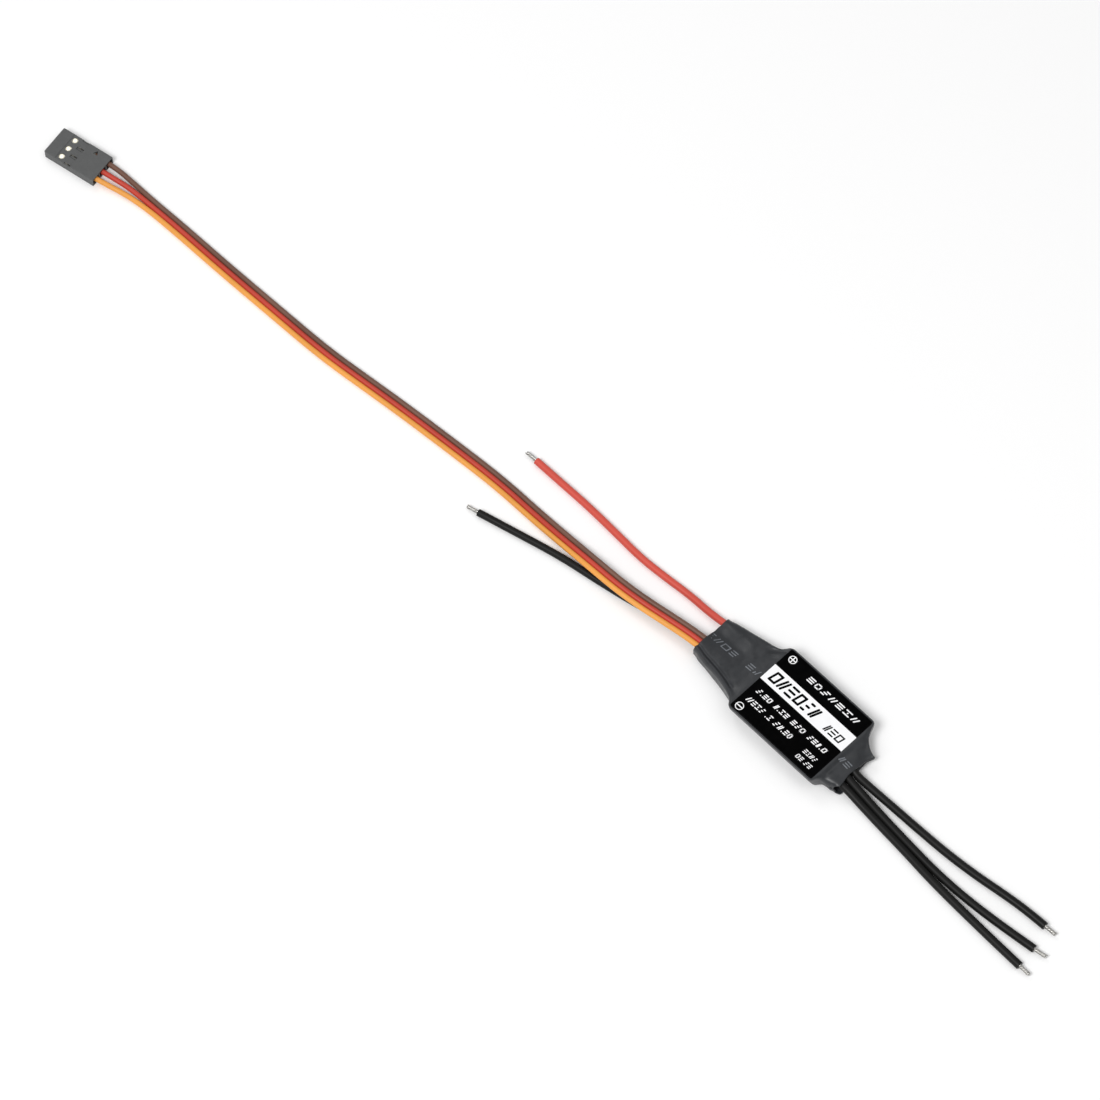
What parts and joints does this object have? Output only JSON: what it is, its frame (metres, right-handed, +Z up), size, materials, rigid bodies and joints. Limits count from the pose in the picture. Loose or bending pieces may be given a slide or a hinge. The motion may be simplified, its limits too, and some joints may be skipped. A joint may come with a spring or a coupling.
{
  "type": "electronic speed controller",
  "caption": "Brushless motor speed controller: circuit board in a shrink sleeve, with stripped power and motor leads and a signal ribbon that ends in a servo plug.",
  "frame": {"origin": "on the board's centre line, halfway along the sleeve, at the level of its underside", "axes": "+X along the body from the power and signal end to the motor end, +Y towards the positive lead's side, +Z up out of the label"},
  "size_m": [0.3004, 0.0322, 0.0053],
  "materials": {
    "sleeve_plastic": "shrunk polyolefin tubing, satin",
    "label_film": "printed film, glossy",
    "board_laminate": "glass-epoxy laminate with solder mask",
    "chip_body": "moulded epoxy",
    "ceramic_chip": "fired ceramic with tinned ends",
    "solder": "bright solder",
    "black_silicone": "silicone insulation, satin",
    "red_silicone": "silicone insulation, satin",
    "brown_insulation": "PVC insulation, satin",
    "red_insulation": "PVC insulation, satin",
    "orange_insulation": "PVC insulation, satin",
    "tinned_copper": "tinned strands",
    "plug_plastic": "moulded nylon, satin",
    "contact_metal": "gold-plated spring metal"
  },
  "bodies": {
    "root": {"ceramic_resonator": "ceramic_chip", "chip_capacitors": "ceramic_chip", "chip_resistors": "ceramic_chip", "circuit_board": "board_laminate", "gate_driver_1": "chip_body", "gate_driver_2": "chip_body", "gate_driver_3": "chip_body", "heat_shrink_sleeve": "sleeve_plastic", "input_capacitor_1": "ceramic_chip", "input_capacitor_2": "ceramic_chip", "label": "label_film", "microcontroller": "chip_body", "motor_lead_1": "black_silicone", "motor_lead_2": "black_silicone", "motor_lead_3": "black_silicone", "motor_lead_tip_1": "tinned_copper", "motor_lead_tip_2": "tinned_copper", "motor_lead_tip_3": "tinned_copper", "motor_solder_1": "solder", "motor_solder_2": "solder", "motor_solder_3": "solder", "plug_contact_brown": "contact_metal", "plug_contact_orange": "contact_metal", "plug_contact_red": "contact_metal", "plug_housing": "plug_plastic", "power_lead_negative": "black_silicone", "power_lead_positive": "red_silicone", "power_lead_tip_negative": "tinned_copper", "power_lead_tip_positive": "tinned_copper", "power_solder_negative": "solder", "power_solder_positive": "solder", "power_transistor_1": "chip_body", "power_transistor_2": "chip_body", "power_transistor_3": "chip_body", "power_transistor_4": "chip_body", "power_transistor_5": "chip_body", "power_transistor_6": "chip_body", "signal_solder_brown": "solder", "signal_solder_orange": "solder", "signal_solder_red": "solder", "signal_wire_brown": "brown_insulation", "signal_wire_orange": "orange_insulation", "signal_wire_red": "red_insulation", "voltage_regulator_1": "chip_body", "voltage_regulator_2": "chip_body"}
  },
  "joints": []
}
